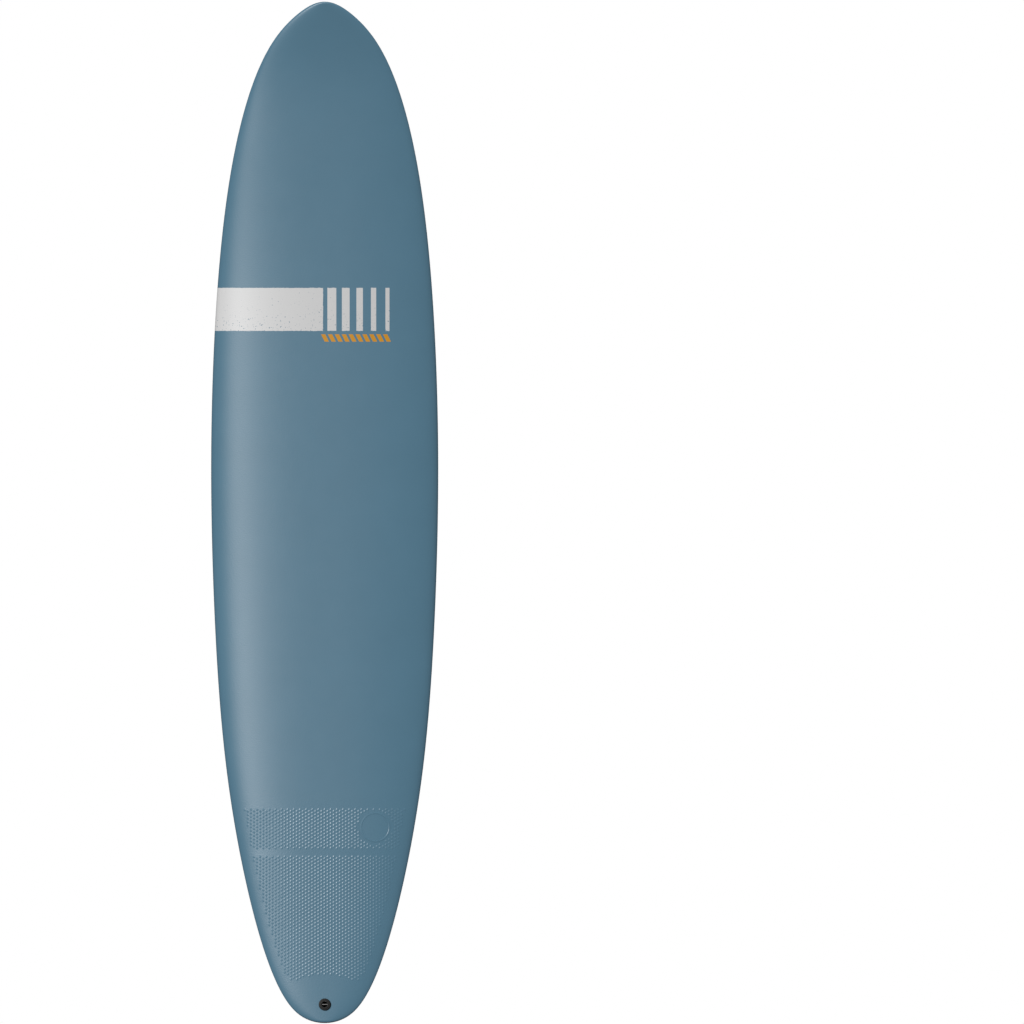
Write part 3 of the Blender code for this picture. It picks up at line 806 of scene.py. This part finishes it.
def fin_box_mesh():
    mesh = along_block("fin_box", BOX_WIDTH, BOX_TOP, BOX_DEPTH, BOX_LENGTH, BOX_BEVEL)
    mesh = carved(mesh, slot_cutter_mesh())
    mesh = carved(mesh, along_block("groove", GROOVE_WIDTH, GROOVE_TOP, GROOVE_BASE, SLOT_LENGTH))
    mesh = carved(mesh, along_block("notch", NOTCH_WIDTH, -REACH, GROOVE_TOP + GAP, NOTCH_OPENING))
    return placed(mesh, box_frame)

def edge_curve(points):
    """A smooth curve through (along, out) points, from 0 at the first to 1 at the last."""
    lengths = [math.dist(a, b) for a, b in zip(points, points[1:])]
    knots = np.concatenate([[0], np.cumsum(lengths)]) / sum(lengths)
    along = natural_spline(knots, [p[0] for p in points])
    out = natural_spline(knots, [p[1] for p in points])
    return lambda t: np.array([0, float(out(t)), float(along(t))])

def blade_ring(share):
    """The blade's foil section, closed and rounded at both edges."""
    lead = leading_edge(share)
    chord = trailing_edge(share) - lead
    thick = FIN_THICKNESS + (FIN_TIP_THICKNESS - FIN_THICKNESS) * share
    right = []
    for i in range(FIN_CHORD_STEPS + 1):
        back = (1 - math.cos(math.pi * i / FIN_CHORD_STEPS)) / 2
        foil = (thick - FIN_EDGE) * math.sin(math.pi * back**FOIL_SKEW)
        rounded = FIN_EDGE * math.sqrt(max(0, 1 - abs(2 * back - 1) ** EDGE_POWER))
        right.append(lead + chord * back + np.array([(foil + rounded) / 2, FIN_ROOT, 0]))
    mirror = np.array([-1, 1, 1])
    return right + [p * mirror for p in reversed(right[1:-1])]

def fin_mesh():
    shares = [math.sin(math.pi / 2 * i / FIN_SECTIONS) for i in range(FIN_SECTIONS + 1)]
    rings = [blade_ring(share) for share in shares]
    count = len(rings[0])
    total = count * len(rings)
    ends = [tuple(range(count)), tuple(range(total - count, total))]
    faces = grid_faces(count, len(rings)) + ends
    mesh = mesh_from("fin", [p for ring in rings for p in ring], faces)
    half = TAB_WIDTH / 2
    tab = block("tab", (-half, -TAB_DEPTH, TAB_BACK), (half, TAB_TOP, TAB_FRONT))
    mesh = carved(mesh, tab, "UNION")
    low = (-half, -TONGUE_BASE, TAB_FRONT - TONGUE_ROOT)
    mesh = carved(mesh, block("tongue", low, (half, -TONGUE_TOP, TONGUE_FRONT)), "UNION")
    mesh = carved(mesh, rod("pin_hole", PIN_RADIUS + GAP, *pin_ends(REACH)))
    mesh = carved(mesh, screw_hole_mesh())
    return placed(mesh, box_frame)

def pin_ends(more=0.0):
    depth = -(GROOVE_TOP + GROOVE_BASE) / 2
    return [(side * (PIN_LENGTH / 2 + more), depth, PIN_ALONG) for side in (-1, 1)]

def screw_hole_mesh():
    return rod("screw_hole", SCREW_RADIUS + GAP, (0, -BOX_DEPTH, SCREW_ALONG), (0, REACH, SCREW_ALONG))

def fin_pin_mesh():
    mesh = rod("fin_cross_pin", PIN_RADIUS, *pin_ends(), PIN_CHAMFER)
    return placed(mesh, box_frame)

def fin_screw_mesh():
    """A slotted button head; its thread is drawn as rings, one to each turn."""
    head = (SCREW_HEAD_RADIUS - SCREW_HEAD_HEIGHT / 2, SCREW_HEAD_HEIGHT / 2)
    profile = [(0, SCREW_HEAD_HEIGHT)] + arc(head, SCREW_HEAD_HEIGHT / 2, 90, 0)
    profile += [(SCREW_HEAD_RADIUS, GAP), (SCREW_RADIUS, GAP)]
    turns = int((SCREW_LENGTH - THREAD_START - SCREW_POINT) / THREAD_PITCH)
    root = SCREW_RADIUS - THREAD_DEPTH * THREAD_PITCH
    for i in range(turns):
        depth = -THREAD_START - i * THREAD_PITCH
        profile += [(SCREW_RADIUS, depth), (root, depth - THREAD_PITCH / 2)]
    profile += [(SCREW_RADIUS, -THREAD_START - turns * THREAD_PITCH)]
    profile += [(SCREW_RADIUS * SCREW_POINT_TAPER, -SCREW_LENGTH), (0, -SCREW_LENGTH)]
    mesh = lathe("fin_screw", profile, SCREW_STEPS)
    half = DRIVER_SLOT / 2
    cutter = block("driver_slot", (-half, SCREW_HEAD_HEIGHT / 2, -REACH), (half, REACH, REACH))
    mesh = carved(mesh, cutter)
    return placed(mesh, box_frame @ Matrix.Translation((0, -TONGUE_TOP, SCREW_ALONG)))

def fin_plate_mesh():
    half = PLATE_SIDE / 2
    low = (-half, -PLATE_TOP - PLATE_THICKNESS, SCREW_ALONG - half)
    plate = block("fin_plate", low, (half, -PLATE_TOP, SCREW_ALONG + half), PLATE_BEVEL)
    mesh = carved(plate, screw_hole_mesh())
    return placed(mesh, box_frame)

# --- Materials ---

class Nodes:
    """A new material and short ways to add nodes to it."""

    def __init__(self, name):
        self.material = bpy.data.materials.new(name)
        self.material.use_nodes = True
        self.tree = self.material.node_tree
        self.shader = self.tree.nodes["Principled BSDF"]

    def link(self, value, socket):
        if isinstance(value, bpy.types.NodeSocket):
            self.tree.links.new(value, socket)
        elif isinstance(value, tuple) and len(value) == 3 and socket.type == "RGBA":
            socket.default_value = (*value, 1)
        else:
            socket.default_value = value

    def fill(self, node, values):
        for name, value in values.items():
            self.link(value, node.inputs[name.replace("_", " ")])
        return node

    def set(self, **values):
        self.fill(self.shader, values)

    def new(self, kind, **values):
        return self.fill(self.tree.nodes.new("ShaderNode" + kind), values)

    def place(self):
        """Object coordinates, which are the frame's own coordinates in metres."""
        return self.new("TexCoord").outputs["Object"]

    def axes(self):
        return self.new("SeparateXYZ", Vector=self.place()).outputs

    def math(self, operation, *values):
        node = self.new("Math")
        node.operation = operation
        for value, socket in zip(values, node.inputs):
            self.link(value, socket)
        return node.outputs[0]

    def times(self, first, second):
        return self.math("MULTIPLY", first, second)

    def linear(self, value, factor, more):
        return self.math("MULTIPLY_ADD", value, factor, more)

    def within(self, value, low, high):
        return self.times(self.math("GREATER_THAN", value, low), self.math("LESS_THAN", value, high))

    def repeat(self, value, spacing):
        """From 0 to 1 over each spacing."""
        return self.math("FRACT", self.math("DIVIDE", value, spacing))

    def fade(self, value, start, end):
        """0 at start and 1 at end."""
        node = self.new("MapRange")
        for socket, setting in zip(node.inputs, (value, start, end)):
            self.link(setting, socket)
        return node.outputs[0]

    def scaled(self, x, y, z):
        return self.new("Mapping", Vector=self.place(), Scale=(x, y, z)).outputs[0]

    def noise(self, scale, detail, vector=None):
        vector = vector or self.place()
        return self.new("TexNoise", Vector=vector, Scale=scale, Detail=detail).outputs["Fac"]

    def cells(self, scale, feature="F1"):
        node = self.new("TexVoronoi", Vector=self.place(), Scale=scale)
        node.feature = feature
        return node.outputs["Distance"]

    def mix(self, share, first, second):
        node = self.new("Mix")
        node.data_type = "RGBA"
        for i, value in ((0, share), (6, first), (7, second)):
            self.link(value, node.inputs[i])
        return node.outputs[2]

    def bump(self, height, distance, strength, below=None):
        node = self.new("Bump", Strength=strength, Distance=distance, Height=height)
        if below:
            self.link(below, node.inputs["Normal"])
        return node.outputs[0]

BLUE = (0.092, 0.197, 0.276)
BAND_GREY = (0.60, 0.60, 0.60)
ORANGE = (0.60, 0.27, 0.013)
PRINT_BLACK = (0.026, 0.024, 0.023)
SLICK_GREY = (0.68, 0.68, 0.68)
BAND = (1.859, 1.9745)
STRIPES = (-0.0045, 0.174)
STRIPE_SPACING = 0.0357
STRIPE_GAP = 0.30  # of the spacing, at the left
STRIPE_NARROWING = 0.42  # how much wider the gap is at the right
DASHES = (1.830, 1.850)
DASHES_END = 0.1805
DASH_SPACING = 0.0185
DASH_SLANT = 0.5
DASH_LENGTH = 0.62  # of the spacing
SLICK_BARS = (1.856, 1.971)
SLICK_DASHES = (1.828, 1.847)
SLICK_DASH_LENGTH = 0.34
SLICK_PRINT = 0.093  # half width of the print near the nose
SLICK_BAR_SPACING = 0.0266
SLICK_BAR_GAP = 0.50
SLICK_BAR_NARROWING = 0.30
BADGE_HEIGHT = 0.6355
BADGE_RADIUS = 0.0385
BADGE_RING = 0.0085
BADGE_DOT = 0.0125
BADGE_DASHES = (0.577, 0.588)
BADGE_DASH_REACH = 0.039
BADGE_DASH_SPACING = 0.013
BADGE_DASH_LENGTH = 0.45

LIGHT_LEVEL = 0.13  # of the surroundings
MIRROR_LEVEL = 0.015
FLOOR_SIZE = 24
FLOOR_DROP = 0.001
VIEW_SIZE = 2.75  # from side to side of the picture
VIEW_CENTRE = (0.503, LENGTH / 2 + 0.001)
VIEW_DISTANCE = 6

def tones(colour, *shares):
    return [tuple(c * share for c in colour) for share in shares]

def slanted_dashes(n, x, z, heights, length):
    """How far across places are along the slant, and 1 on the dashes."""
    slant = n.linear(n.math("SUBTRACT", z, heights[0]), DASH_SLANT, x)
    dash = n.math("LESS_THAN", n.repeat(slant, DASH_SPACING), length)
    return slant, n.times(dash, n.within(z, *heights))

def deck_foam_material():
    n = Nodes("deck_foam")
    x, _, z = n.axes()
    wobble = n.linear(n.noise(130, 3), 0.003, -0.0015)
    rough_x = n.math("ADD", x, wobble)
    rough_z = n.math("ADD", z, wobble)
    band = n.within(rough_z, *BAND)
    plain = n.math("LESS_THAN", rough_x, STRIPES[0])
    # Fading stripes: each repeats at one spacing, and gets narrower to the right.
    run = n.repeat(n.math("SUBTRACT", x, STRIPES[0]), STRIPE_SPACING)
    gap = n.linear(n.fade(x, *STRIPES), STRIPE_NARROWING, STRIPE_GAP)
    stripe = n.math("GREATER_THAN", run, gap)
    stripes = n.times(stripe, n.within(x, *STRIPES))
    grey = n.times(band, n.math("MAXIMUM", plain, stripes))
    limit = n.linear(n.fade(z, *BAND), 0.10, 0.66)
    speckle = n.math("GREATER_THAN", n.noise(260, 2), limit)
    base = n.mix(n.noise(9, 4), *tones(BLUE, 0.96, 1.04))
    ink = n.mix(n.fade(x, -0.30, 0.30), *tones(BAND_GREY, 1.12, 0.94))
    colour = n.mix(n.times(grey, n.math("SUBTRACT", 1, speckle)), base, ink)
    slant, dashes = slanted_dashes(n, x, z, DASHES, DASH_LENGTH)
    colour = n.mix(n.times(dashes, n.within(slant, STRIPES[0], DASHES_END)), colour, ORANGE)
    n.set(Base_Color=colour, Sheen_Weight=0.05)
    n.set(Roughness=n.linear(n.noise(30, 3), 0.06, 0.335))
    n.set(Normal=n.bump(n.noise(420, 3), 0.0004, 0.35, n.bump(n.cells(330), 0.0003, 0.25)))
    return n.material

def slick_material():
    """Satin sheet, a little lighter towards the nose, with a plain black print."""
    n = Nodes("slick")
    x, _, z = n.axes()
    across = n.within(x, -SLICK_PRINT, SLICK_PRINT)
    run = n.repeat(n.math("ADD", x, SLICK_PRINT), SLICK_BAR_SPACING)
    share = n.fade(x, -SLICK_PRINT, SLICK_PRINT)
    gap = n.linear(share, SLICK_BAR_NARROWING, SLICK_BAR_GAP)
    bars = n.times(n.math("GREATER_THAN", run, gap), n.within(z, *SLICK_BARS))
    _, dashes = slanted_dashes(n, x, z, SLICK_DASHES, SLICK_DASH_LENGTH)
    block_print = n.times(across, n.math("MAXIMUM", bars, dashes))
    rise = n.math("SUBTRACT", z, BADGE_HEIGHT)
    away = n.math("ADD", n.math("POWER", x, 2.0), n.math("POWER", rise, 2.0))
    away = n.math("POWER", away, 0.5)
    ring = n.within(away, BADGE_RADIUS - BADGE_RING, BADGE_RADIUS)
    badge = n.math("MAXIMUM", ring, n.math("LESS_THAN", away, BADGE_DOT))
    small = n.math("LESS_THAN", n.repeat(x, BADGE_DASH_SPACING), BADGE_DASH_LENGTH)
    small = n.times(small, n.within(z, *BADGE_DASHES))
    small = n.times(small, n.within(x, -BADGE_DASH_REACH, BADGE_DASH_REACH))
    ink = n.math("MAXIMUM", block_print, n.math("MAXIMUM", badge, small))
    wear = n.math("GREATER_THAN", n.noise(330, 2), 0.70)
    ink = n.times(ink, n.math("SUBTRACT", 1, wear))
    base = n.mix(n.fade(z, 0.2, 2.6), *tones(SLICK_GREY, 1.0, 1.03))
    blotch = n.linear(n.noise(7, 3), 0.3, -0.05)
    base = n.mix(blotch, base, (0.66, 0.66, 0.65))
    n.set(Base_Color=n.mix(ink, base, PRINT_BLACK), Coat_Weight=0.1, Coat_Roughness=0.3)
    scratch = n.noise(1, 3, n.scaled(900, 900, 14))
    n.set(Roughness=n.linear(scratch, 0.14, 0.30))
    n.set(Normal=n.bump(scratch, 0.0001, 0.15, n.bump(n.noise(240, 3), 0.0002, 0.15)))
    return n.material

def beads_material(name, colour, scale, depth):
    """Foam made of beads, darker in the seams between them."""
    n = Nodes(name)
    seam = n.fade(n.cells(scale, "DISTANCE_TO_EDGE"), 0.0, 0.12)
    tone = n.mix(n.noise(scale / 8, 3), *tones(colour, 0.92, 1.02))
    n.set(Base_Color=n.mix(seam, tones(colour, 0.78)[0], tone))
    n.set(Roughness=n.linear(n.noise(scale, 2), 0.15, 0.75), Subsurface_Weight=0.05)
    n.set(Normal=n.bump(seam, depth, 0.6, n.bump(n.noise(scale * 4, 2), depth / 3, 0.3)))
    return n.material

def plywood_material():
    n = Nodes("plywood")
    grain = n.noise(1, 4, n.scaled(120, 120, 3))
    pores = n.noise(1, 2, n.scaled(900, 900, 25))
    colour = n.mix(grain, (0.36, 0.23, 0.12), (0.64, 0.46, 0.27))
    n.set(Base_Color=n.mix(n.fade(pores, 0.6, 0.75), colour, (0.25, 0.15, 0.08)))
    n.set(Roughness=n.linear(grain, 0.2, 0.55))
    n.set(Normal=n.bump(pores, 0.0002, 0.4))
    return n.material

def moulded_material(name, colour, roughness):
    """Moulded plastic with a fine texture, faint flow marks and rubbed spots."""
    n = Nodes(name)
    flow = n.noise(1, 3, n.scaled(50, 50, 14))
    rubbed = n.fade(n.noise(45, 4), 0.62, 0.78)
    tone = n.mix(flow, *tones(colour, 0.85, 1.15))
    n.set(Base_Color=n.mix(n.times(rubbed, 0.4), tone, tones(colour, 2.2)[0]))
    n.set(Roughness=n.linear(rubbed, 0.10, n.linear(flow, 0.08, roughness)))
    n.set(Normal=n.bump(n.noise(900, 2), 0.0002, 0.25), Specular_IOR_Level=0.3)
    return n.material

def fin_material():
    """Black nylon with a painted sheen: its colour turns grey towards the thin trailing edge and tip,
    standing in for glancing light on the foil.
    """
    n = Nodes("fin_plastic")
    _, y, z = n.axes()
    # Painted sheen: the colour goes from black to grey towards the tip and trailing edge, where glancing
    # light catches the foil.
    sheen_reach = n.linear(y, 0.6, n.times(z, -0.8))
    grey = n.math("POWER", n.fade(sheen_reach, -0.125, 0.072), 2.2)
    flow = n.noise(1, 3, n.scaled(80, 25, 25))
    dark = n.mix(flow, (0.003, 0.003, 0.003), (0.005, 0.005, 0.0052))
    scuff = n.fade(n.noise(60, 4), 0.64, 0.8)
    # The grey mixed into the black here is the painted sheen.
    n.set(Base_Color=n.mix(grey, dark, (0.33, 0.33, 0.33)), Specular_IOR_Level=0.2)
    n.set(Roughness=n.linear(scuff, 0.12, n.linear(flow, 0.08, 0.30)))
    n.set(Normal=n.bump(n.noise(700, 2), 0.0001, 0.2))
    return n.material

def steel_material():
    n = Nodes("steel")
    brush = n.noise(1, 3, n.scaled(60, 2500, 2500))
    stain = n.fade(n.noise(260, 3), 0.6, 0.8)
    n.set(Base_Color=n.mix(stain, (0.62, 0.61, 0.60), (0.42, 0.40, 0.38)), Metallic=1.0)
    n.set(Roughness=n.linear(stain, 0.2, n.linear(brush, 0.12, 0.24)))
    n.set(Normal=n.bump(brush, 0.00005, 0.3))
    return n.material

def floor_material():
    n = Nodes("floor_white")
    n.set(Base_Color=n.mix(n.noise(2, 3), (0.85, 0.85, 0.85), (0.87, 0.87, 0.87)), Roughness=0.9)
    n.set(Emission_Color=(1.0, 1.0, 1.0), Emission_Strength=0.25)
    return n.material

box_frame = surface_frame(bottom_at, BOX_HEIGHT, 1)
plug_frame = surface_frame(deck_middle_at, PLUG_HEIGHT, -1)
leading_edge = edge_curve(LEADING_EDGE)
trailing_edge = edge_curve(TRAILING_EDGE)

steel = steel_material()
box_plastic = moulded_material("box_plastic", (0.006, 0.006, 0.006), 0.40)
core_foam = beads_material("core_foam", (0.90, 0.90, 0.90), 260, 0.0005)
insert_foam = beads_material("insert_foam", (0.75, 0.68, 0.50), 900, 0.0002)
backing_foam = beads_material("backing_foam", (0.80, 0.80, 0.78), 600, 0.0003)
plywood = plywood_material()
deck_foam = deck_foam_material()

new_piece("deck_skin_fine", deck_skin_mesh(), deck_foam, "board", "deck_foam", "deck_skin")
new_piece("bottom_slick_fine", slick_mesh(), slick_material(), "board", "slick", "bottom_slick")
new_piece("leash_plug_fine", leash_plug_mesh(), box_plastic, "board", "box_plastic", "leash_plug")
new_piece("leash_bar_fine", leash_bar_mesh(), steel, "board", "steel", "leash_bar")
new_piece("fin_box_fine", fin_box_mesh(), box_plastic, "board", "box_plastic", "fin_box")
new_piece("fin_fine", fin_mesh(), fin_material(), "fin_assembly", "fin_plastic", "fin")
new_piece("fin_pin_fine", fin_pin_mesh(), steel, "fin_assembly", "steel", "fin_cross_pin")
new_piece("fin_screw_fine", fin_screw_mesh(), steel, "screw", "steel", "fin_screw")
new_piece("fin_plate_fine", fin_plate_mesh(), steel, "plate", "steel", "fin_plate")

carried_over = (
    (backing_foam, "backing_foam"),
    (core_foam, "core_left", "core_centre", "core_right"),
    (plywood, "stringer_left", "stringer_right"),
    (insert_foam, "fin_box_block", "leash_plug_block"),
)
for material, *names in carried_over:
    for name in names:
        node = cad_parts[name]
        node.data.materials.clear()
        node.data.materials.append(material)

def new_sun(name, azimuth, elevation, strength, angle, glossy=True):
    """A soft light from the azimuth, where 0 is -Y and 90 is +X; not glossy leaves no highlights."""
    light = bpy.data.lights.new(name, "SUN")
    light.energy = strength
    light.angle = math.radians(angle)
    turn, rise = math.radians(azimuth), math.radians(elevation)
    flat = math.cos(rise)
    direction = Vector((math.sin(turn) * flat, -math.cos(turn) * flat, math.sin(rise)))
    made = new_object(name, light)
    made.rotation_euler = direction.to_track_quat("Z", "Y").to_euler()
    made.visible_glossy = glossy

def studio_world():
    """White to the camera, dim on the surfaces that it lights, and darker in their reflections."""
    world = bpy.data.worlds.new("studio")
    bpy.context.scene.world = world
    world.use_nodes = True
    tree = world.node_tree
    tree.nodes.clear()
    rays = tree.nodes.new("ShaderNodeLightPath").outputs

    def backdrop(level):
        grey = tree.nodes.new("ShaderNodeBackground")
        grey.inputs["Color"].default_value = (level, level, level, 1)
        return grey.outputs[0]

    def choice(ray, otherwise, chosen):
        node = tree.nodes.new("ShaderNodeMixShader")
        for value, socket in zip((rays[ray], otherwise, chosen), node.inputs):
            tree.links.new(value, socket)
        return node.outputs[0]

    lit = choice("Is Glossy Ray", backdrop(LIGHT_LEVEL), backdrop(MIRROR_LEVEL))
    output = tree.nodes.new("ShaderNodeOutputWorld")
    tree.links.new(choice("Is Camera Ray", lit, backdrop(1)), output.inputs[0])

def studio_floor():
    bpy.ops.mesh.primitive_plane_add(size=FLOOR_SIZE, location=(0, 0, -FLOOR_DROP))
    floor = bpy.context.object
    floor.name = "floor"
    floor.data.materials.append(floor_material())
    floor.visible_diffuse = False
    floor.visible_glossy = False

def front_camera():
    """A straight view of the deck, with the board at the left."""
    camera = new_object("camera", bpy.data.cameras.new("camera"))
    camera.data.type = "ORTHO"
    camera.data.ortho_scale = VIEW_SIZE
    camera.location = (VIEW_CENTRE[0], -VIEW_DISTANCE, VIEW_CENTRE[1])
    camera.rotation_euler = (math.pi / 2, 0, 0)
    bpy.context.scene.camera = camera

new_sun("key", -24, 14, 2.75, 6)
new_sun("back_key", 174, 14, 2.42, 6, glossy=False)
new_sun("side_key", 90, 12, 1.0, 10, glossy=False)
new_sun("top", 0, 90, 1.0, 12)
studio_world()
studio_floor()
front_camera()
bpy.context.scene.view_settings.view_transform = "Standard"
